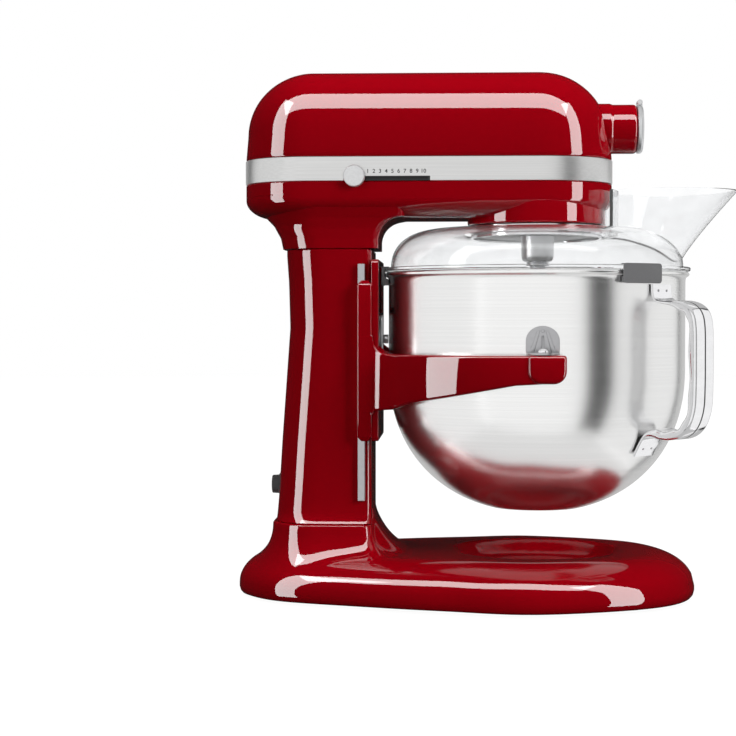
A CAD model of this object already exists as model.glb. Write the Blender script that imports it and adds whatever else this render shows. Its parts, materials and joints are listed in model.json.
# Looks for the bowl-lift stand mixer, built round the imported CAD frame. Sizes below are millimetres
# about the bowl's axis with the worktop at zero, and are turned into metres in the row frame.
import json
import math
import bpy
import bmesh
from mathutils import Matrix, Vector
from mathutils.kdtree import KDTree

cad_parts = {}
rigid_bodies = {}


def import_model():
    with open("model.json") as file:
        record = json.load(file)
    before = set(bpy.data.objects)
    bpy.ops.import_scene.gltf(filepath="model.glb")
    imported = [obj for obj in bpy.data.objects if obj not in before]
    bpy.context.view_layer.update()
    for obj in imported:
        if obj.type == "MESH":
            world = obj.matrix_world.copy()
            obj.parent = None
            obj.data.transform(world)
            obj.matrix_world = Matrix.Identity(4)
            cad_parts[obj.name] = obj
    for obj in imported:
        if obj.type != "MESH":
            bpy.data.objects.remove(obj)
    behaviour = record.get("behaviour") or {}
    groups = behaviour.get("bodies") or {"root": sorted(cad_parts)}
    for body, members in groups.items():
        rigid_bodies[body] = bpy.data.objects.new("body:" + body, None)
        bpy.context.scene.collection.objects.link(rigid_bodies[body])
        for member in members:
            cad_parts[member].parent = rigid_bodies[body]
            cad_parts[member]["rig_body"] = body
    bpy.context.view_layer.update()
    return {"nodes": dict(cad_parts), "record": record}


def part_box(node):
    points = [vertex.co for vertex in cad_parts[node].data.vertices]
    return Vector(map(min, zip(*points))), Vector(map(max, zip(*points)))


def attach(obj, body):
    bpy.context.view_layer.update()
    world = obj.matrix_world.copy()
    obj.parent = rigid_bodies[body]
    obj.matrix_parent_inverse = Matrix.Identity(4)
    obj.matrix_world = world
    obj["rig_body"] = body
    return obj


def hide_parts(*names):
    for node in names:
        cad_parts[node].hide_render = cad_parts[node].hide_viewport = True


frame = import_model()

MM = 0.001
UP = Vector((0, 0, 1))
ring_low, ring_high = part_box("drip_ring")
AXIS = (ring_low.x + ring_high.x) / 2          # the bowl's axis along X, in metres

# ---------------------------------------------------------------- materials
def principled(name, base, metallic, roughness, grain, bump=0.0, spread=0.06, **constants):
    """Principled surface whose colour, roughness and relief vary with a noise stretched by grain."""
    mat = bpy.data.materials.new(name)
    mat.use_nodes = True
    nodes, links = mat.node_tree.nodes, mat.node_tree.links
    shader = nodes["Principled BSDF"]
    coords = nodes.new("ShaderNodeTexCoord")
    mapping = nodes.new("ShaderNodeMapping")
    mapping.inputs["Scale"].default_value = grain
    noise = nodes.new("ShaderNodeTexNoise")
    noise.inputs["Scale"].default_value = 1.0
    noise.inputs["Detail"].default_value = 4.0
    links.new(coords.outputs["Object"], mapping.inputs["Vector"])
    links.new(mapping.outputs["Vector"], noise.inputs["Vector"])
    tone = nodes.new("ShaderNodeMapRange")
    tone.inputs["To Min"].default_value = max(roughness - spread, 0.0)
    tone.inputs["To Max"].default_value = roughness + spread
    links.new(noise.outputs["Fac"], tone.inputs["Value"])
    links.new(tone.outputs["Result"], shader.inputs["Roughness"])
    ramp = nodes.new("ShaderNodeValToRGB")
    ramp.color_ramp.elements[0].position = 0.3
    ramp.color_ramp.elements[1].position = 0.7
    ramp.color_ramp.elements[0].color = (*[c * (1 - spread) for c in base], 1)
    ramp.color_ramp.elements[1].color = (*[min(c * (1 + spread), 1) for c in base], 1)
    links.new(noise.outputs["Fac"], ramp.inputs["Fac"])
    links.new(ramp.outputs["Color"], shader.inputs["Base Color"])
    if bump:
        relief = nodes.new("ShaderNodeBump")
        relief.inputs["Strength"].default_value = bump
        relief.inputs["Distance"].default_value = 0.0002
        links.new(noise.outputs["Fac"], relief.inputs["Height"])
        links.new(relief.outputs["Normal"], shader.inputs["Normal"])
    shader.inputs["Metallic"].default_value = metallic
    for key, value in constants.items():
        shader.inputs[key.replace("_", " ")].default_value = value
    return mat


MATERIALS = {
    "red_enamel": principled("red_enamel", (0.345, 0.0003, 0.0055), 0.0, 0.3, (240, 240, 240), 0.003, 0.03,
                             Coat_Weight=1.0, Coat_Roughness=0.012, Coat_IOR=1.5, Specular_IOR_Level=0.0),
    "brushed_band": principled("brushed_band", (0.66, 0.66, 0.655), 1.0, 0.36, (7, 500, 1100), 0.16, 0.05),
    "bowl_steel": principled("bowl_steel", (0.86, 0.86, 0.855), 1.0, 0.24, (5, 5, 1500), 0.06, 0.03),
    "ear_steel": principled("ear_steel", (0.42, 0.42, 0.43), 1.0, 0.3, (300, 300, 300), 0.05, 0.04),
    "polished_steel": principled("polished_steel", (0.84, 0.84, 0.85), 1.0, 0.12, (60, 60, 200),
                                 0.02, 0.03),
    "satin_metal": principled("satin_metal", (0.66, 0.665, 0.67), 1.0, 0.4, (700, 700, 700), 0.12, 0.05),
    "machined_steel": principled("machined_steel", (0.55, 0.56, 0.57), 1.0, 0.3, (900, 300, 300),
                                 0.15, 0.06),
    "cast_metal": principled("cast_metal", (0.5, 0.51, 0.52), 0.9, 0.6, (500, 500, 500), 0.5, 0.08),
    "copper_winding": principled("copper_winding", (0.6, 0.27, 0.12), 1.0, 0.35, (1500, 200, 200),
                                 0.5, 0.08),
    "grey_plastic": principled("grey_plastic", (0.16, 0.16, 0.165), 0.0, 0.5, (900, 900, 900), 0.1, 0.05),
    "black_plastic": principled("black_plastic", (0.012, 0.012, 0.013), 0.0, 0.45, (900, 900, 900),
                                0.15, 0.06),
    "foot_rubber": principled("foot_rubber", (0.02, 0.02, 0.02), 0.0, 0.85, (600, 600, 600), 0.4, 0.08),
    "circuit_board": principled("circuit_board", (0.02, 0.14, 0.06), 0.0, 0.4, (500, 500, 500), 0.2, 0.08),
    "clear_plastic": principled("clear_plastic", (0.9, 0.905, 0.91), 0.0, 0.04, (90, 90, 90), 0.01, 0.02,
                                Transmission_Weight=1.0, IOR=1.35, Emission_Color=(1, 1, 1, 1),
                                Emission_Strength=0.012),
}
SLOT = {part["node"]: part["material_slot"] for part in frame["record"]["subparts"]}
BODY = {node: obj["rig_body"] for node, obj in frame["nodes"].items()}


# ---------------------------------------------------------------- mesh tools
def loft(rings, cap_first=True, cap_last=True, mesh=None):
    """Skin through closed rings that all have the same number of points."""
    mesh = mesh or bmesh.new()
    rows = [[mesh.verts.new(point) for point in ring] for ring in rings]
    for low, high in zip(rows, rows[1:]):
        for i in range(len(low)):
            k = (i + 1) % len(low)
            mesh.faces.new((low[i], low[k], high[k], high[i]))
    if cap_first:
        mesh.faces.new(rows[0][::-1])
    if cap_last:
        mesh.faces.new(rows[-1])
    return mesh


def spline(a, b, c, d, t):
    """Point between b and c on the smooth curve through four points."""
    return 0.5 * ((2 * b) + (c - a) * t + (2 * a - 5 * b + 4 * c - d) * t * t
                  + (3 * b - a - 3 * c + d) * t ** 3)


def blended(points, count):
    """Smooth curve with count steps through a few (a, b) points, ends included."""
    pts = [Vector(p) for p in points]
    pts = [2 * pts[0] - pts[1]] + pts + [2 * pts[-1] - pts[-2]]
    spans = len(pts) - 3
    out = []
    for i in range(count + 1):
        place = min(i / count * spans, spans - 1e-6)
        first = int(place)
        out.append(spline(*pts[first:first + 4], place - first))
    return out


def between(value, table):
    """Straight-line look-up in a short table of (key, value) pairs."""
    if value <= table[0][0]:
        return table[0][1]
    for (k0, v0), (k1, v1) in zip(table, table[1:]):
        if value <= k1:
            return v0 + (v1 - v0) * (value - k0) / (k1 - k0)
    return table[-1][1]


def smooth(t):
    """Eased step from 0 to 1."""
    t = min(max(t, 0.0), 1.0)
    return t * t * (3 - 2 * t)


def fillet(distance, width):
    """Quarter-circle curve that falls from 1 at distance 0 to 0 at its full width."""
    return 1 - math.sqrt(max(1 - (max(width - distance, 0) / width) ** 2, 0))


def turned(profile, axis="z", at=(0, 0), sides=96, start=0.0, sweep=360.0, mesh=None):
    """Closed (radius, height) profile turned about an axis parallel to x, y or z, or part of a turn."""
    mesh = mesh or bmesh.new()
    full = sweep >= 359.9
    count = sides if full else sides + 1
    rows = []
    for i in range(count):
        a = math.radians(start + sweep * i / sides)
        row = []
        for r, h in profile:
            u, v = r * math.cos(a), r * math.sin(a)
            point = {"z": (at[0] + u, at[1] + v, h), "x": (h, at[0] + u, at[1] + v),
                     "y": (at[0] + v, h, at[1] + u)}[axis]
            row.append(mesh.verts.new(point))
        rows.append(row)
    for i in range(count if full else count - 1):
        a, b = rows[i], rows[(i + 1) % count]
        for k in range(len(profile)):
            n = (k + 1) % len(profile)
            if profile[k][0] < 1e-6 and profile[n][0] < 1e-6:
                continue
            mesh.faces.new((a[k], b[k], b[n], a[n]))
    if not full:
        mesh.faces.new(rows[0])
        mesh.faces.new(rows[-1][::-1])
    return mesh


def softened(profile, radius, steps=4):
    """Rounds the corners of a closed profile, leaving points on the axis alone."""
    out = []
    for i, point in enumerate(profile):
        here, back, ahead = Vector(point), Vector(profile[i - 1]), Vector(profile[(i + 1) % len(profile)])
        if here.x < 1e-6 and (back.x < 1e-6 or ahead.x < 1e-6):
            out.append(tuple(here))
            continue
        r = min(radius, (back - here).length * 0.45, (ahead - here).length * 0.45)
        a, b = here + (back - here).normalized() * r, here + (ahead - here).normalized() * r
        for k in range(steps + 1):
            t = k / steps
            out.append(tuple((1 - t) ** 2 * a + 2 * t * (1 - t) * here + t * t * b))
    return out


def absorb(mesh, other):
    """Adds another mesh to a mesh and frees it."""
    holder = bpy.data.meshes.new("holder")
    other.to_mesh(holder)
    other.free()
    mesh.from_mesh(holder)
    bpy.data.meshes.remove(holder)
    return mesh


def plate(outline, low, high, axis="z", rounding=0.0, holes=(), mesh=None):
    """Flat outline pushed along an axis, with rounded rims. Holes are outlines too."""
    mesh = mesh or bmesh.new()
    place = {"z": lambda a, b, h: (a, b, h),
             "y": lambda a, b, h: (a, h, b),
             "x": lambda a, b, h: (h, a, b)}[axis]
    made = bmesh.new()
    edges = []
    for loop in (outline, *holes):
        verts = [made.verts.new(place(a, b, low)) for a, b in loop]
        edges += [made.edges.new((verts[i], verts[(i + 1) % len(verts)])) for i in range(len(verts))]
    bmesh.ops.triangle_fill(made, use_beauty=True, use_dissolve=False, edges=edges)
    moved = bmesh.ops.extrude_face_region(made, geom=list(made.faces))
    shift = Vector(place(0, 0, high)) - Vector(place(0, 0, low))
    raised = [v for v in moved["geom"] if isinstance(v, bmesh.types.BMVert)]
    bmesh.ops.translate(made, verts=raised, vec=shift)
    if rounding:
        bmesh.ops.dissolve_limit(made, angle_limit=math.radians(1), verts=made.verts, edges=made.edges)
        rims = [e for e in made.edges if len(e.link_faces) == 2 and e.calc_face_angle(0) > math.radians(50)]
        bmesh.ops.bevel(made, geom=rims, offset=rounding, segments=3, profile=0.5, affect="EDGES",
                        clamp_overlap=True)
    return absorb(mesh, made)


def arc(cx, cy, rx, ry, start, end, count):
    """Points of an elliptical arc between two angles in degrees."""
    return [(cx + rx * math.cos(math.radians(start + (end - start) * i / count)),
             cy + ry * math.sin(math.radians(start + (end - start) * i / count))) for i in range(count + 1)]


def rounded(x0, x1, y0, y1, low, high=None, count=6):
    """Rectangle outline with corner radius low at x0 and high at x1."""
    high = low if high is None else high
    return (arc(x1 - high, y0 + high, high, high, -90, 0, count)
            + arc(x1 - high, y1 - high, high, high, 0, 90, count)
            + arc(x0 + low, y1 - low, low, low, 90, 180, count)
            + arc(x0 + low, y0 + low, low, low, 180, 270, count))


def swept(stations, mesh=None):
    """Rings given as (centre, side direction, up direction, outline), skinned and capped."""
    return loft([[tuple(centre + side * a + up * b) for a, b in outline]
                 for centre, side, up, outline in stations], mesh=mesh)


def mirrored(mesh):
    """Turns a left-hand mesh into its right-hand twin."""
    bmesh.ops.scale(mesh, vec=(1, -1, 1), verts=mesh.verts)
    bmesh.ops.reverse_faces(mesh, faces=mesh.faces)
    return mesh


def in_row_frame(name, mesh):
    """Object in the row frame from a mesh in millimetres about the bowl's axis."""
    bmesh.ops.recalc_face_normals(mesh, faces=mesh.faces)
    bmesh.ops.scale(mesh, vec=(MM, MM, MM), verts=mesh.verts)
    bmesh.ops.translate(mesh, vec=(AXIS, 0, 0), verts=mesh.verts)
    data = bpy.data.meshes.new(name)
    mesh.to_mesh(data)
    mesh.free()
    obj = bpy.data.objects.new(name, data)
    bpy.context.scene.collection.objects.link(obj)
    return obj


def shade(data, sharp):
    """Smooth shading, with edges sharper than an angle in degrees kept sharp."""
    for face in data.polygons:
        face.use_smooth = True
    data.set_sharp_from_angle(angle=math.radians(sharp))


def piece(name, mesh, node, sharp=38, look=None):
    """Turns a mesh in millimetres into an object that stands for a CAD node and rides its body."""
    bmesh.ops.remove_doubles(mesh, verts=mesh.verts, dist=0.001)
    bmesh.ops.dissolve_degenerate(mesh, dist=0.0005, edges=mesh.edges)
    obj = in_row_frame(name, mesh)
    shade(obj.data, sharp)
    obj.data.materials.append(MATERIALS[look or SLOT[node]])
    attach(obj, BODY[node])
    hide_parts(node)
    return obj


def carve(obj, tool_mesh, operation="DIFFERENCE"):
    """Cuts a closed millimetre mesh out of a finished piece, or joins it on."""
    tool = in_row_frame("tool", tool_mesh)
    mod = obj.modifiers.new("cut", "BOOLEAN")
    mod.operation, mod.solver, mod.object = operation, "EXACT", tool
    bpy.context.view_layer.update()
    cut = bpy.data.meshes.new_from_object(obj.evaluated_get(bpy.context.evaluated_depsgraph_get()))
    obj.modifiers.clear()
    obj.data = cut
    shade(cut, 38)
    bpy.data.objects.remove(tool)


# ---------------------------------------------------------------- head
HEAD_TOP = 416.8
BAND_TOP = 347.0
REAR_CENTRE = -178               # where the head's rounded rear begins
NOSE = 59.8
TAIL = -232.2
HEAD_HALF = 55
HUB = (0, 372)                   # axis of the attachment hub: Y and Z


def head_ring(front, rear, width, z, side=24, end=32):
    """Outline of the head: half ellipses at both ends joined by straight sides."""
    nose = [(front * math.cos(math.radians(a)), width * math.sin(math.radians(a)))
            for a in [-90 + 180 * i / end for i in range(end + 1)]]
    depth = REAR_CENTRE - rear
    tail = [(REAR_CENTRE - depth * math.cos(math.radians(a)), width * math.sin(math.radians(a)))
            for a in [90 - 180 * i / end for i in range(end + 1)]]
    left = [(REAR_CENTRE * i / side, width) for i in range(1, side)]
    right = [(REAR_CENTRE * (1 - i / side), -width) for i in range(1, side)]
    return [(x, y, z) for x, y in nose + left + tail + right]


def cover_ring(z):
    """Outline of the upper head at a height."""
    up = min((z - BAND_TOP) / (HEAD_TOP - BAND_TOP), 1)
    width = HEAD_HALF * max(1 - up ** 2.6, 0) ** (1 / 2.6)
    front = between(z, ((BAND_TOP, NOSE), (360, 58.5))) - 54.5 * fillet(HEAD_TOP - z, 56.8)
    rear = between(z, ((BAND_TOP, TAIL), (366.8, -230.5))) + 52.5 * fillet(HEAD_TOP - z, 50)
    return head_ring(front, rear, width, z)


cover_rings = [head_ring(59.2, -231.6, 54.4, 347.1)]
for i in range(45):
    cover_rings.append(cover_ring(348 + (HEAD_TOP - 348) * math.sin(math.pi / 2 * i / 44)))
cover = loft(cover_rings, cap_last=False)
cover_piece = piece("motor_cover_shell", cover, "motor_cover", sharp=50)
carve(cover_piece, turned([(0, 36), (21, 36), (21, 90), (0, 90)], "x", HUB, 64))
carve(cover_piece, turned([(0, 20), (3.4, 20), (3.4, 60), (0, 60)], "y", (54, HUB[1]), 32))

under_rings = []
for inset, z in ((2.4, 346.7), (2.4, 328.6), (0.8, 327.7), (0.0, 327.0)):
    under_rings.append(head_ring(NOSE - inset, TAIL + inset, HEAD_HALF - inset, z))
for i in range(15):
    a = math.radians(90 * i / 14)
    inset = 24 * (1 - math.cos(a))
    under_rings.append(head_ring(NOSE - inset, TAIL + inset, HEAD_HALF - inset, 315.5 - 15 * math.sin(a)))
lower = loft(under_rings)

# Neck: front corner sweeps into the underside, the sides flare to the head and the back follows its curve.
NECK_FRONT = -124.8
SWEEP = 18.2                     # radius where the neck's front meets the underside
UNDERSIDE = 300.5
neck_rear = ((276.3, -201.8), (285, -203.6), (294.7, -209.2), (303, -217.5), (309, -224.6),
             (314, -230.6), (318, -231.9))
neck_side = ((276.3, 44), (284, 44.2), (292, 45.2), (300, 47.8), (307, 51.2), (313, 54), (318, 54.9))
neck_rings = []
for i in range(31):
    z = 276.3 + 41.7 * i / 30
    front = NECK_FRONT + SWEEP * fillet(UNDERSIDE - z, SWEEP) if z < UNDERSIDE else -104
    half, back = between(z, neck_side), between(z, neck_rear)
    soft = min(34 + 19 * smooth((z - 284) / 32), half - 0.6)
    neck_rings.append([(x, y, z) for x, y in rounded(back, front, -half, half, soft, 6, 12)])
loft(neck_rings, mesh=lower)
boss = softened([(50.8, 295.6), (54.7, 295.6), (54.7, 313.5), (50.8, 313.5)], 1.4)
housing = piece("gearcase_lower_housing", lower, "gearcase_housing", sharp=42)
carve(housing, turned([(0, 290), (51.5, 290), (51.5, 322), (0, 322)], sides=96))
piece("gearcase_boss", turned(boss, sides=128), "gearcase_housing")

# ---------------------------------------------------------------- trim band and controls
band_rings = []
for inset, z in ((2.2, 346.7), (0.2, 346.8), (-0.35, 346.5), (-0.5, 346.0), (-0.5, 328.7), (-0.35, 328.2),
                 (0.2, 327.9), (2.2, 328.0)):
    band_rings.append(head_ring(NOSE - inset, TAIL + inset, HEAD_HALF - inset, z, 24, 48))
band = loft(band_rings + [band_rings[0]], False, False)
band_piece = piece("trim_band_strip", band, "trim_band", sharp=30)
carve(band_piece, plate(rounded(-151, -84, 320, 331.6, 0.4), -60, -50, "y"))
carve(band_piece, plate(rounded(-151, -129, 332, 343, 1.2), 50, 60, "y"))

slot_plate = plate(rounded(-150.8, -84.2, 328.1, 331.4, 0.4), -55.35, -52.8, "y", 0.15,
                   [rounded(-146, -85.6, 328.8, 330.8, 0.9)[::-1]])
piece("speed_slot_trim", slot_plate, "speed_slot_plate")
back_strip = plate(rounded(-150, -84.6, 328.4, 331.2, 0.4), -52.8, -52.2, "y")
piece("speed_slot_shadow", back_strip, "speed_slot_plate")

FIRST_DIGIT = -132.2
DIGIT_STEP = 4.78
for number in range(1, 11):
    curve = bpy.data.curves.new(f"digit_{number}", "FONT")
    curve.body = str(number)
    curve.size = 4.3 * MM
    curve.extrude = 0.03 * MM
    curve.offset = 0.06 * MM
    curve.align_x = "CENTER"
    text = bpy.data.objects.new(f"text_{number}", curve)
    bpy.context.scene.collection.objects.link(text)
    text.rotation_euler = (math.pi / 2, 0, 0)
    text.location = (AXIS + (FIRST_DIGIT + DIGIT_STEP * (number - 1)) * MM, -55.53 * MM, 333.9 * MM)
    bpy.context.view_layer.update()
    flat = bpy.data.meshes.new_from_object(text.evaluated_get(bpy.context.evaluated_depsgraph_get()))
    flat.transform(text.matrix_world)
    bpy.data.objects.remove(text)
    mark = bpy.data.objects.new(f"dial_number_{number}", flat)
    bpy.context.scene.collection.objects.link(mark)
    flat.materials.clear()
    flat.materials.append(MATERIALS["black_plastic"])
    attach(mark, "stand")

knob_profile = softened([(0, -61), (7.6, -61), (8.5, -60), (8.5, -57.2), (7.4, -55.95), (0, -55.95)], 0.5)
knob = turned(knob_profile, "y", (-142.5, 331.5), 64)
turned([(0, -56.2), (0.8, -56.2), (0.8, -52.9), (0, -52.9)], "y", (-142.5, 329.8), 24, mesh=knob)
piece("speed_lever_knob", knob, "speed_lever")

rocker = plate(rounded(-10, 10, -4.9, 4.9, 1.2), -2.7, 2.7, "y", 0.5)
low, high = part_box("power_switch")
middle = (low.y + high.y) / 2 / MM
tilt = math.radians(6)
for vert in rocker.verts:
    vert.co.y += 0.5 * (abs(vert.co.x) / 10) ** 2 * (1 if vert.co.y > 0 else 0) - 0.25
    x = vert.co.x * math.cos(tilt) - vert.co.y * math.sin(tilt)
    y = vert.co.x * math.sin(tilt) + vert.co.y * math.cos(tilt)
    vert.co = (x - 140, y + middle, vert.co.z + 337.5)
piece("power_rocker", rocker, "power_switch")

# ---------------------------------------------------------------- attachment hub
barrel = softened([(15, 44), (20.3, 44), (20.3, 58), (19.4, 60), (19.4, 76.9), (18.6, 78.6), (15, 78.6)],
                  0.8)
hub = turned(barrel, "x", HUB, 96)
socket = softened([(0, 44), (19, 44), (19, 64), (14.9, 64), (14.9, 50), (0, 50)], 0.3)
turned(socket, "x", HUB, 64, mesh=hub)
piece("attachment_hub_barrel", hub, "attachment_hub")
lid = softened([(0, 79.2), (18.6, 79.2), (19.3, 80), (19.3, 82.4), (18, 83.9), (6, 83.9), (5, 83.2),
                (0, 83.2)], 0.6)
cap = turned(lid, "x", HUB, 96)
turned(softened([(0, -6), (2.1, -6), (2.1, 6), (0, 6)], 0.4), "y", (81.6, 393), 32, mesh=cap)
plate(rounded(79.6, 83.6, 387, 393.4, 1), -5, 5, "y", 0.4, mesh=cap)
piece("hub_cap_lid", cap, "hub_cap")

FLUTES = 18
grip = []
for y_at, radius, depth in ((38.6, 8.2, 0.0), (39.3, 9.3, 0.5), (41, 9.5, 0.8), (48.6, 9.5, 0.8),
                            (50.2, 9.2, 0.5), (50.95, 8.0, 0.0)):
    ring = []
    for i in range(144):
        a = 2 * math.pi * i / 144
        reach_out = radius - depth * (0.5 + 0.5 * math.cos(FLUTES * a))
        ring.append((54 + reach_out * math.sin(a), y_at, HUB[1] + reach_out * math.cos(a)))
    grip.append(ring)
clamp = loft(grip)
turned([(0, 16), (2.4, 16), (2.9, 17), (2.9, 39), (0, 39)], "y", (54, HUB[1]), 32, mesh=clamp)
piece("attachment_clamp_knob", clamp, "attachment_knob", sharp=30)

# ---------------------------------------------------------------- planetary drive
SHAFT = (0, -25)                 # the beater shaft's axis: X and Y
dish = softened([(0, 296.2), (49.3, 296.2), (49.5, 293), (46, 291), (30, 288.8), (0, 288.4)], 1.2)
disc = turned(dish, sides=128)
drop = softened([(0, 290.5), (13.6, 290.5), (12.9, 286), (12.6, 270.5), (11.2, 267.2), (0, 267.2)], 2.2)
turned(drop, at=SHAFT, sides=64, mesh=disc)
piece("planetary_dish", disc, "planetary_hub")
ring = softened([(50.3, 288.3), (52.3, 288.3), (52.4, 292), (52.2, 295.2), (50.3, 295.2)], 0.6)
piece("drip_ring_band", turned(ring, sides=128), "drip_ring")
spindle = softened([(0, 235.2), (4.8, 235.2), (6, 236.6), (6, 262.8), (9, 263.1), (9, 264.4), (8.1, 264.7),
                    (8.1, 265.3), (9, 265.6), (8.8, 266.4), (6, 266.5), (6, 309.4), (0, 309.4)], 0.25)
shaft = turned(spindle, at=SHAFT, sides=48)
cross_pin = softened([(0, -9.9), (2.1, -9.9), (2.1, 9.9), (0, 9.9)], 0.5)
turned(cross_pin, "x", (SHAFT[1], 241), 24, mesh=shaft)
piece("beater_drive_shaft", shaft, "beater_shaft")

# ---------------------------------------------------------------- column
LIFT_PIVOT = (-158, 195)         # the lift lever's axis: X and Z
column_rear = ((60.3, -207), (78, -205.5), (125, -202.6), (214, -196.2), (250, -197.2), (275.7, -199))
COLUMN_FRONT = -130
COLUMN_HALF = 44
COLUMN_FOOT = 60.3


def column_ring(z, half, soft, z_at):
    """Outline of the column at a height, drawn in by soft."""
    rear, front = between(z, column_rear) + soft, COLUMN_FRONT - soft
    return [(x, y, z_at) for x, y in rounded(rear, front, -half + soft, half - soft, 34, 5, 12)]


column_rings = []
for i in range(46):
    z = COLUMN_FOOT + 215.4 * i / 45
    half = COLUMN_HALF + 4 * fillet(z - COLUMN_FOOT, 17.7)
    column_rings.append(column_ring(z, half, 0.8 if i in (0, 45) else 0, z))
    if i in (0, 44):
        column_rings.append(column_ring(z, half, 0, z + (0.8 if i == 0 else 4.0)))
column = piece("column_casting", loft(column_rings), "column", sharp=40)
inside = [[(x, y, z) for x, y in rounded(between(z, column_rear) + 4, -134, -40, 40, 29, 3)]
          for z in (72, 125, 214, 250, 290)]
carve(column, loft(inside))
carve(column, plate(rounded(-10, 10, 160, 230, 4), -140, -120, "x"))
carve(column, turned([(0, 30), (8.3, 30), (8.3, 60), (0, 60)], "y", LIFT_PIVOT, 40))
gland = softened([(0, -210.6), (4.2, -210.6), (5.4, -212), (7.2, -211.6), (7.6, -206.2), (9, -205.8),
                  (9, -203.4), (6, -202), (6, -198.2), (0, -198.2)], 0.5)
piece("cord_gland_moulding", turned(gland, "x", (0, 88), 48), "cord_gland")

for side, name in ((-1, "guide_rail_right"), (1, "guide_rail_left")):
    y0, y1 = sorted((side * 44.3, side * 48.6))
    rail = plate(rounded(-140.4, -134.6, y0, y1, 0.8), 79, 264, "z", 0.6)
    piece(f"{name}_bar", rail, name, look="ear_steel")

# ---------------------------------------------------------------- base
RIM = 37                         # height of the upper surface
RISE = 27                        # height of its rolled edge
EDGE = 38                        # width of its rolled edge
DISH = 25                        # height of the round recess under the bowl
DECK = 60.2                      # height of the joint with the column
CENTRE = Vector((-160, 0))       # where the rays that shape the base start, under the column
RAYS, STEPS = 256, 90
CREST = 11                       # rise of the joint with the column at the front
BASE_POINTS = [(125.8, 0), (97, 78), (4, 121.4), (-70, 109), (-133, 91), (-200, 66), (-230, 32), (-238, 0)]
half_plan = BASE_POINTS + [(x, -y) for x, y in BASE_POINTS[-2:0:-1]]
closed_plan = half_plan[-1:] + half_plan + half_plan[:2]
plan = []
for k in range(1, len(half_plan) + 1):
    a, b, c, d = (Vector(closed_plan[(k + j - 1) % len(closed_plan)]) for j in range(4))
    for i in range(24):
        plan.append(spline(a, b, c, d, i / 24))
PEDESTAL = rounded(-209.5, -129.6, -52, 52, 36, 8, 16)


def reach(outline, direction):
    """Distance from the centre along a direction to a closed outline."""
    best = 0.0
    for i in range(len(outline)):
        p, q = Vector(outline[i]) - CENTRE, Vector(outline[(i + 1) % len(outline)]) - CENTRE
        cross = direction.x * (q.y - p.y) - direction.y * (q.x - p.x)
        if abs(cross) < 1e-9:
            continue
        along = (p.x * (q.y - p.y) - p.y * (q.x - p.x)) / cross
        share = (p.x * direction.y - p.y * direction.x) / cross
        if along > 0 and -1e-6 <= share <= 1 + 1e-6:
            best = max(best, along)
    return best


outline_tree = KDTree(len(plan))
for index, point in enumerate(plan):
    outline_tree.insert((point.x, point.y, 0), index)
outline_tree.balance()


def from_edge(point):
    """Shortest distance from a point to the base's outline."""
    index = outline_tree.find((point.x, point.y, 0))[1]
    best = 1e9
    for step in (-1, 0):
        a, b = plan[(index + step) % len(plan)], plan[(index + step + 1) % len(plan)]
        share = min(max((point - a).dot(b - a) / max((b - a).length_squared, 1e-9), 0), 1)
        best = min(best, (point - a - (b - a) * share).length)
    return best


def near_middle(y):
    """1 in front of the column's middle, 0 towards its sides."""
    return 1 - smooth((abs(y) - 24) / 18)


rays = []
for i in range(RAYS):
    a = 2 * math.pi * i / RAYS
    direction = Vector((math.cos(a) + 0.45 * math.cos(a) ** 3, math.sin(a))).normalized()
    near, far = reach(PEDESTAL, direction), reach(plan, direction)
    foot = 15 + 15 * smooth((direction.x - 0.1) / 0.8)
    lip = CENTRE + direction * near
    crest = DECK + CREST * near_middle(lip.y) * smooth((lip.x + 140) / 8)
    heights = [(near * 0.4, DECK), (near - 1.2, crest), (near - 0.3, crest - 0.4)]
    for k in range(STEPS + 1):
        t = k / STEPS
        run = (far - near) * (0.5 * (t ** 1.6) + 0.5 * (1 - (1 - t) ** 2.2))
        point = CENTRE + direction * (near + run)
        gap = from_edge(point)
        z = RIM - RISE * fillet(gap, EDGE)
        z -= (RIM - DISH) * (1 - smooth((point.length - 55) / 13)) * smooth(gap / 12)
        z += (DECK - 1 - z) * fillet(run, foot)
        if direction.x > 0:
            z += max(70.5 - z, 0) * fillet(point.x + 129.6, 33.6) * near_middle(point.y)
        heights.append((near + run, z))
    heights += [(far, 7.0), (far - 0.8, 4.0), (far - 2.2, 2.4), (far - 6, 2.0)]
    rays.append([tuple(CENTRE + direction * distance) + (z,) for distance, z in heights])
piece("base_casting", loft([list(ring) for ring in zip(*rays)]), "base_plate", sharp=60)
for index in range(1, 6):
    low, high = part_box(f"foot_{index}")
    x, y = ((low.x + high.x) / 2 - AXIS) / MM, (low.y + high.y) / 2 / MM
    foot = turned(softened([(0, 0), (9.6, 0), (11, 1.4), (10.6, 8), (0, 8)], 0.8), at=(x, y), sides=48)
    piece(f"rubber_foot_{index}", foot, f"foot_{index}")

# ---------------------------------------------------------------- bowl carriage
ARM_RADIUS = 126.15              # middle of the arms where they curve round the bowl
carriage = plate(rounded(-53.6, 53.6, 126, 267.4, 4), -129.6, -124, "x", 1.2,
                 [rounded(-30, 30, 226, 262, 4)[::-1]])
ARM_TOP = 194
ARM_BOTTOM = ((-129, 145), (-128, 147.4), (-126, 149.2), (-123, 150), (-113, 151), (-104, 153.5),
              (-94, 157.8), (-20, 172), (4, 173.4), (11, 173.6), (17, 179))


def arm_top(x):
    """Top of the arm, with the cove that runs up into the cheek."""
    return ARM_TOP + 17 * fillet(x + 129, 17)


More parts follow.
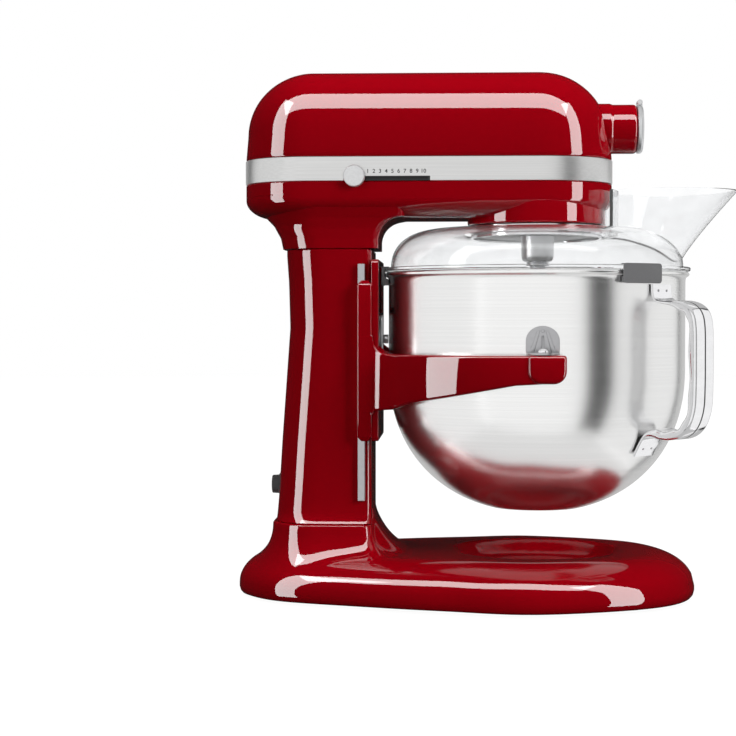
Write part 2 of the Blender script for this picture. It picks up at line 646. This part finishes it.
# Each side has a cheek on its rail, an arm that curves round the bowl and a pad at the arm's tip.
for side in (-1, 1):
    y0, y1 = sorted((side * 44.9, side * 55))
    cheek = []
    for z, i in ((126, 3.0), (129.2, 0.3), (129.8, 0), (247.2, 0), (247.8, 0.3), (251, 3.0)):
        cheek.append([(x, y, z) for x, y in rounded(-140.6 + i, -129 - i, y0 + i, y1 - i, 1.6)])
    loft(cheek, mesh=carriage)
    route = [Vector((x, 49.35, 0)) for x in (-139, -129.05, -128.9, -128.5, -127.9, -127)]
    for x, y in ((-125.6, 49.7), (-123.6, 50.6), (-121, 52.2), (-117.6, 54.9), (-114.2, 58.2)):
        route.append(Vector((x, y, 0)))
    for a in range(150, 89, -3):
        route.append(ARM_RADIUS * Vector((math.cos(math.radians(a)), math.sin(math.radians(a)), 0)))
    route += [Vector((x, 125.9, 0)) for x in (6, 10, 11.5, 13, 14.4, 15.5, 16.3, 16.8, 17)]
    stations = []
    for i, point in enumerate(route):
        along = (route[min(i + 1, len(route) - 1)] - route[max(i - 1, 0)]).normalized()
        across = Vector((-along.y, along.x, 0))
        taper = min(max(point.x - 11, 0) / 6.02, 1)
        squeeze = math.sqrt(1 - taper * taper)
        half = 5.75 * (0.35 + 0.65 * squeeze)
        low = between(point.x, ARM_BOTTOM) + 2 * (1 - squeeze)
        high = arm_top(point.x) - 2 * (1 - squeeze)
        if point.x < -129.04:
            low, high = 147, 209
        outer = half - 1.6 * smooth((point.x + 100) / 40) * squeeze
        section = rounded(-half, outer, low, high, min(2.2, half * 0.6), None, 5)
        stations.append((point, across, UP, section))
    arm = swept(stations)
    pad = rounded(173.2, ARM_TOP + 0.3, -11.2, 17.2, 9.5, 2.2, 8)
    rings = []
    for y, inset in ((120.2, 1.6), (121.6, 0.2), (123, 0), (129.2, 0), (130.6, 0.5), (131.5, 1.5),
                     (131.9, 3.2)):
        rings.append([(3 + (x - 3) * (1 - inset / 14.2), y, 183.8 + (z - 183.8) * (1 - inset / 10.6))
                      for z, x in pad])
    loft(rings, mesh=arm)
    if side < 0:
        mirrored(arm)
    absorb(carriage, arm)
fork = [(-188, 205), (-129, 205), (-129, 225), (-188, 225), (-188, 220.2), (-134, 220.2), (-134, 209.8),
        (-188, 209.8)]
plate(fork, -6, 2, "y", 0.4, mesh=carriage)
piece("carriage_yoke", carriage, "bowl_carriage", sharp=40)
for side, name in ((-1, "locating_pin_right"), (1, "locating_pin_left")):
    pin = softened([(0, 194.3), (4, 194.3), (4, 197.6), (2.6, 199.4), (0, 199.5)], 0.5)
    piece(f"{name}_stud", turned(pin, at=(0, side * 126), sides=40), name)
spring = [(12, 196), (12, 220), (9, 224), (5.6, 224), (4.5, 221), (4.5, 203), (2, 200.5)]
spring += [(-y, z) for y, z in spring[::-1]]
piece("latch_spring_leaf", plate(spring, -123.7, -122.9, "x", 0.15), "latch_spring")

# ---------------------------------------------------------------- bowl
BOWL_RADIUS = 117.8


def bowl_wall(inset, count=44):
    """Bowl from the middle of its bottom up to the straight side, on the outside or inset from it."""
    points = [(0.0, 70.4 + inset)]
    for i in range(count + 1):
        a = math.radians(74.5 * (1 - i / count))
        points.append(((BOWL_RADIUS - inset) * math.cos(a) ** (1 / 1.1),
                       182 - (114.8 - inset) * math.sin(a) ** (1 / 1.1)))
    return points


rim_roll = [(BOWL_RADIUS, 215), (BOWL_RADIUS, 250), (118.2, 253.4), (119.6, 254.5), (120.6, 255.0),
            (121, 256), (120.6, 257.2), (119.6, 258), (118, 258.4), (116.9, 258.0), (116.6, 256.5)]
inner_wall = [(116.6, 250), (116.6, 215)] + bowl_wall(1.2)[::-1]
piece("bowl_shell", turned(bowl_wall(0) + rim_roll + inner_wall, sides=192), "bowl", sharp=50)

for side, name in ((-1, "bowl_ear_right"), (1, "bowl_ear_left")):
    ear = plate(arc(0, 205, 12.5, 11, 0, 180, 16) + [(-12.5, 197), (-11, 194.5), (11, 194.5), (12.5, 197)],
                118.1, 119.6, "y", 0.35)
    for way in (-1, 1):
        rib = [(way * 2.0, 213), (way * 4.4, 212), (way * 9.8, 196.4), (way * 6.4, 196.4)]
        plate(rib, 119.4, 120.6, "y", 0.3, mesh=ear)
    plate([(119.5, 196.4), (130.2, 196.4), (119.5, 209)], -0.9, 0.9, "x", 0.2, mesh=ear)
    weld = softened([(0, 119.4), (1.4, 119.4), (1.2, 119.9), (0, 120.05)], 0.2)
    for spot in ((0, 212.2), (-7.6, 200.2), (7.6, 200.2)):
        turned(weld, "y", spot, 24, mesh=ear)
    tongue = [(12.4, 118.3)] + arc(0, 119.4, 12.4, 12.0, 4, 176, 24) + [(-12.4, 118.3)]
    plate(tongue, 194.55, 196.45, "z", 0.3, [arc(0, 126, 4.7, 4.7, 360, 15, 23)], mesh=ear)
    if side < 0:
        mirrored(ear)
    piece(f"{name}_bracket", ear, name, look="ear_steel")

SWING = math.radians(-40)        # the handle's place round the bowl
OUT = Vector((math.cos(SWING), math.sin(SWING), 0))
ACROSS = Vector((-math.sin(SWING), math.cos(SWING), 0))
HANDLE_POINTS = [(120.6, 247.2), (120.6, 241), (122, 236.4), (127, 234.9), (139, 234.8), (148.6, 232.2),
                 (155.2, 226), (157.9, 215), (158.3, 192), (158.2, 170), (157.2, 154), (153, 141.6),
                 (146, 134), (137, 130.6), (126, 130.4), (117.6, 132.6), (113.2, 131.6), (109.8, 127.2),
                 (106.8, 121.4), (104.4, 116.4)]
HANDLE_STEPS = 130
HANDLE_LINE = blended(HANDLE_POINTS, HANDLE_STEPS)
END_THICKNESS = 1.9
WAVES = 11                       # finger ripples along the inside of the grip


def strap(width, thickness, lift=0.0, seam=0.0, first=0, last=HANDLE_STEPS, wave=0.0):
    """Bar swept along the handle's outer line, thin at its ends where it lies on the bowl."""
    stations = []
    for i in range(first, last + 1):
        t, point = i / HANDLE_STEPS, HANDLE_LINE[i]
        along = (HANDLE_LINE[min(i + 1, HANDLE_STEPS)] - HANDLE_LINE[max(i - 1, 0)]).normalized()
        inward = Vector((along.y, -along.x))
        body = smooth((t - 0.14) / 0.12) * smooth((0.86 - t) / 0.12)
        thick = END_THICKNESS + (thickness - END_THICKNESS) * body
        depth = seam * body
        edge = min(0.42 * thick, 2.6)
        outline = rounded(-width / 2, width / 2, 0, thick, edge, None, 5)
        if seam:
            outline += [(-0.9, 0), (-0.5, depth), (0.5, depth), (0.9, 0)]
        ripple = wave * body * math.cos((t - 0.5) * 2 * math.pi * WAVES)
        ends = 1 - smooth(min(t, 1 - t) / 0.12)
        ring = []
        for a, b in outline:
            b += ripple if b > thick * 0.6 else 0
            spot = point + inward * (b - lift)
            bend = ends * a * a / 236          # the ends follow the roundness of the bowl
            ring.append(tuple(OUT * (spot.x - bend) + ACROSS * a + UP * spot.y))
        stations.append(ring)
    return loft(stations)


piece("bowl_handle_bar", strap(26, 7.0, seam=1.1, wave=0.55), "bowl_handle", sharp=30)
seam_strip = strap(2.8, 1.9, lift=0.05, first=24, last=106)
piece("bowl_handle_seam", seam_strip, "bowl_handle", look="black_plastic")
welds = bmesh.new()
for z, radius in ((242.5, 120.5), (122.4, 107.2)):
    for across in (-5.5, 5.5):
        dot = turned(softened([(0, -0.6), (1.1, -0.6), (0.9, 0.2), (0, 0.4)], 0.1), sides=20)
        for vert in dot.verts:
            vert.co = OUT * (radius + vert.co.z) + ACROSS * (across + vert.co.x) + UP * (z + vert.co.y)
        absorb(welds, dot)
piece("bowl_handle_welds", welds, "bowl_handle", look="ear_steel")
latch = softened([(0, -122), (3.0, -122), (3.6, -121.4), (3.6, -118.2), (0, -118.2)], 0.3)
piece("bowl_latch_stud", turned(latch, "x", (0, 205), 40), "bowl_latch_pin")

# ---------------------------------------------------------------- pouring shield
OPENING = 57.6                   # radius of the shield's opening for the beater
SPAN = 58.4                      # width of the dome round the opening
SHIELD_WALL = 1.8


def dome_point(share, span, foot, height):
    """Radius and height on the dome, from its foot at share 0 to its top at share 1."""
    a = math.pi / 2 * share
    return OPENING + span * math.cos(a) ** 0.62, foot + height * math.sin(a) ** 0.9


dome = [dome_point(i / 40, SPAN, 261.6, 31.7) for i in range(41)]
inner_dome = [(OPENING + 1.4, 291.9)]
inner_dome += [dome_point(1 - i / 40, SPAN - SHIELD_WALL, 260.6, 30.6) for i in range(1, 41)]
flange = [(114.2, 258.8), (121.2, 258.8), (121.8, 259.5), (121.8, 261.0), (121.2, 261.6), (117.5, 261.6)]
dome_mesh = turned(dome + inner_dome + flange, sides=160)
shield = piece("pouring_shield_dome", dome_mesh, "pouring_shield", sharp=45)


def chute_ring(t, inset):
    """Outline of the pouring chute at a share of its height, or inset from it."""
    z = 258.7 + (322.4 - 258.7) * t
    front = 114.3 + 44.7 * max((t - 0.12) / 0.88, 0) ** 1.15 - inset
    half = 44 + 12 * max(t, 0) ** 1.5 - inset
    rear = 63.5 + inset
    narrow = 30 - inset
    limit = math.degrees(math.asin(narrow / rear))
    back = arc(0, 0, rear, rear, limit, -limit, 24)
    start = Vector(back[-1])
    nose = []
    for i in range(33):
        a = math.radians(-90 + 180 * i / 32)
        forward = abs(math.cos(a)) ** (2 / 2.6)
        sideways = math.copysign(abs(math.sin(a)) ** (2 / 2.6), math.sin(a))
        wide = narrow + (half - narrow) * smooth(forward / 0.45)
        nose.append((start.x + (front - start.x) * forward, wide * sideways))
    return [(x, y, z) for x, y in back + nose[1:-1]]


def chute_solid(low, high, inset):
    """Closed solid between two shares of the chute's height."""
    return loft([chute_ring(low + (high - low) * i / 24, inset) for i in range(25)])


# The chute is joined to the dome and bored out, and what it adds inside the dome is cleared again.
hollow = [(0, 256.0), (inner_dome[-1][0] - 0.06, 256.0)]
hollow += [(r - 0.06, z - 0.03) for r, z in inner_dome[::-1]]
hollow.append((0, inner_dome[0][1] - 0.03))
carve(shield, chute_solid(0.05, 1.0, 0.0), "UNION")
carve(shield, chute_solid(-0.03, 1.03, SHIELD_WALL))
carve(shield, turned(hollow, sides=160))

for name, azimuth in (("shield_clip_rear", 180), ("shield_clip_left", 52), ("shield_clip_right", -52)):
    hook = softened([(118.9, 248.2), (123.6, 248.2), (123.6, 262.6), (118.2, 262.6), (118.2, 261.9),
                     (122.4, 261.9), (122.4, 257.4), (121.4, 253.2), (118.9, 252.8)], 0.4, 3)
    clip = turned(hook, sides=12, start=azimuth - 8.2, sweep=16.4)
    face = rounded(-19.4, 19.4, 247.8, 262.8, 2.6)
    rings = []
    for depth, inset in ((122.6, 0.5), (123.3, 0.0), (124.0, 0.0), (124.45, 0.25), (124.6, 0.8)):
        ring = []
        for a, z in face:
            a, z = a * (1 - inset / 19.4), 255.3 + (z - 255.3) * (1 - inset / 7.5)
            angle = math.radians(azimuth) + a / 124
            ring.append((depth * math.cos(angle), depth * math.sin(angle), z))
        rings.append(ring)
    loft(rings, mesh=clip)
    piece(f"{name}_moulding", clip, name, sharp=50)

# ---------------------------------------------------------------- lift lever, on the far side
pivot_boss = softened([(0, 49.1), (10, 49.1), (10, 56), (8.6, 57), (0, 57)], 0.6)
lever = turned(pivot_boss, "y", LIFT_PIVOT, 56)
plate([(-165, 198), (-151, 198), (-152.2, 246), (-163.8, 246)], 50.2, 56.3, "y", 1.4, mesh=lever)
ball_grip = softened([(0, 47.5), (9.3, 47.5), (11, 49.6), (11, 60), (9.4, 62), (0, 62)], 1.2)
turned(ball_grip, "y", (-158, 253), 56, mesh=lever)
piece("lift_lever_arm", lever, "lift_lever")

# ---------------------------------------------------------------- parts that keep their CAD shape
for node, obj in frame["nodes"].items():
    obj.data.materials.clear()
    obj.data.materials.append(MATERIALS[SLOT[node]])

# ---------------------------------------------------------------- room, lights, camera
floor_mesh = turned([(0.0, -0.002), (0.2, 0.0), (6.0, 0.0), (6.0, -0.01)], sides=96)
floor_data = bpy.data.meshes.new("floor")
floor_mesh.to_mesh(floor_data)
floor = bpy.data.objects.new("floor", floor_data)
bpy.context.scene.collection.objects.link(floor)
floor_data.materials.append(principled("floor_white", (0.12, 0.12, 0.12), 0.0, 0.9, (3, 3, 3), 0.0, 0.01,
                                       Emission_Color=(1, 1, 1, 1), Emission_Strength=0.97,
                                       Specular_IOR_Level=0.0))
floor.visible_glossy = floor.visible_diffuse = floor.visible_shadow = False

world = bpy.data.worlds.new("studio")
bpy.context.scene.world = world
world.use_nodes = True
nodes, links = world.node_tree.nodes, world.node_tree.links
path = nodes.new("ShaderNodeLightPath")
seen = nodes.new("ShaderNodeMath")
seen.operation = "MAXIMUM"
links.new(path.outputs["Is Camera Ray"], seen.inputs[0])
links.new(path.outputs["Is Transmission Ray"], seen.inputs[1])
mix = nodes.new("ShaderNodeMix")
mix.data_type = "RGBA"
mix.inputs["A"].default_value = (0.012, 0.012, 0.012, 1)
mix.inputs["B"].default_value = (1, 1, 1, 1)
links.new(seen.outputs[0], mix.inputs["Factor"])
links.new(mix.outputs["Result"], nodes["Background"].inputs["Color"])


# Each kind of surface has lamps of its own, as a product photographer screens them off with flags.
def receivers(name, wanted):
    """Group of objects that a light falls on."""
    group = bpy.data.collections.new(name)
    for obj in bpy.data.objects:
        if obj.type == "MESH" and wanted(obj):
            group.objects.link(obj)
    return group


def has_look(obj, look):
    """Whether an object carries a named material."""
    return MATERIALS[look] in list(obj.data.materials)


ENAMEL = receivers("lit_enamel", lambda obj: has_look(obj, "red_enamel"))
CLEAR = receivers("lit_clear", lambda obj: has_look(obj, "clear_plastic"))
HANDLE = receivers("lit_handle", lambda obj: obj.name.startswith("bowl_handle_"))
FLOOR_ONLY = receivers("lit_floor", lambda obj: obj == floor)
CLAIMED = [obj for group in (ENAMEL, CLEAR, HANDLE, FLOOR_ONLY) for obj in group.objects]
METAL = receivers("lit_metal", lambda obj: obj not in CLAIMED)


def area(name, group, place, target, size, radiance, glossy=True, diffuse=True):
    """Rectangular lamp that falls on one group only, given by how bright its face is."""
    data = bpy.data.lights.new(name, "AREA")
    data.shape, data.size, data.size_y = "RECTANGLE", size[0], size[1]
    data.energy = radiance * math.pi * size[0] * size[1]
    lamp = bpy.data.objects.new(name, data)
    bpy.context.scene.collection.objects.link(lamp)
    lamp.location = place
    lamp.rotation_euler = (Vector(target) - Vector(place)).to_track_quat("-Z", "Y").to_euler()
    lamp.visible_glossy, lamp.visible_diffuse = glossy, diffuse
    lamp.visible_camera = False
    lamp.light_linking.receiver_collection = group
    return lamp


area("enamel_left", ENAMEL, (-1.25, -0.62, 0.5), (0, 0, 0.25), (0.55, 2.3), 11.5, diffuse=False)
area("enamel_right", ENAMEL, (1.25, -0.75, 0.5), (0, 0, 0.25), (0.45, 2.3), 11.5, diffuse=False)
area("enamel_top", ENAMEL, (-0.05, -0.65, 1.28), (0, 0, 0.3), (2.2, 0.52), 11.5, diffuse=False)
area("enamel_soft", ENAMEL, (0, 0.1, 2.0), (0, 0, 0), (2.4, 1.6), 3.0, glossy=False)
area("enamel_key", ENAMEL, (1.5, -1.2, 0.9), (0, 0, 0.25), (1, 1), 9, glossy=False)
area("enamel_fill", ENAMEL, (-1.4, -1.3, 0.6), (0, 0, 0.25), (1, 1), 4, glossy=False)
area("metal_front", METAL, (-0.3, -2.4, 0.2), (-0.3, 0, 0.2), (4.2, 4.8), 1.0)
area("metal_left", METAL, (-2.4, -0.6, 0.2), (0, -0.6, 0.2), (3.8, 4.8), 0.93)
area("metal_right", METAL, (2.3, 0.35, 0.2), (0, 0.35, 0.2), (3.7, 4.8), 0.9)
area("metal_back", METAL, (0, 2.6, 0.2), (0, 0, 0.2), (4.4, 4.8), 0.6)
area("metal_top", METAL, (0, -0.3, 2.4), (0, 0, 0), (4.0, 4.0), 0.8)
area("metal_below", METAL, (0, -0.04, -1.8), (0, -0.04, 0), (3.96, 3.88), 0.8)
area("handle_front", HANDLE, (-0.3, -2.4, 0.2), (-0.3, 0, 0.2), (3.4, 4.0), 0.95)
area("handle_left", HANDLE, (-2.4, -0.9, 0.2), (0, -0.6, 0.2), (2.6, 4.0), 0.7)
area("handle_right", HANDLE, (2.3, 0.5, 0.2), (0, 0.35, 0.2), (3.0, 4.0), 1.0)
area("handle_back", HANDLE, (0, 2.9, 0.2), (0, 0, 0.2), (4.8, 5.4), 0.5)
area("handle_gap", HANDLE, (2.0, -2.0, 0.2), (0, 0, 0.2), (1.4, 4.0), 0.4)
area("handle_top", HANDLE, (0, 0.2, 2.4), (0, 0.2, 0), (4.6, 5.0), 0.7)
area("handle_below", HANDLE, (0, 0.2, -1.8), (0, 0.2, 0), (4.6, 4.6), 0.55)
area("clear_front", CLEAR, (-0.3, -2.4, 0.2), (-0.3, 0, 0.2), (4.2, 4.8), 0.08)
area("clear_right", CLEAR, (2.3, 0.35, 0.2), (0, 0.35, 0.2), (3.7, 4.8), 0.12)
area("clear_back", CLEAR, (0, 2.6, 0.2), (0, 0, 0.2), (4.4, 4.8), 0.1)
area("clear_left", CLEAR, (-1.25, -0.62, 0.5), (0, 0, 0.25), (0.35, 2.3), 6, diffuse=False)
area("clear_top", CLEAR, (-0.05, -0.72, 1.25), (0, 0, 0.3), (2.2, 0.3), 4, diffuse=False)
area("floor_soft", FLOOR_ONLY, (0, 0, 3.0), (0, 0, 0), (9.0, 9.0), 0.9)

camera_data = bpy.data.cameras.new("camera")
camera = bpy.data.objects.new("camera", camera_data)
bpy.context.scene.collection.objects.link(camera)
camera_data.lens, camera_data.sensor_width = 91.1, 36
camera.location = (AXIS - 0.0634, -1.496, 0.222)
aim = Vector((-0.0951, 0, 0.1816))
camera.rotation_euler = (aim - camera.location).to_track_quat("-Z", "Y").to_euler()
bpy.context.scene.camera = camera
bpy.context.scene.view_settings.view_transform = "Standard"
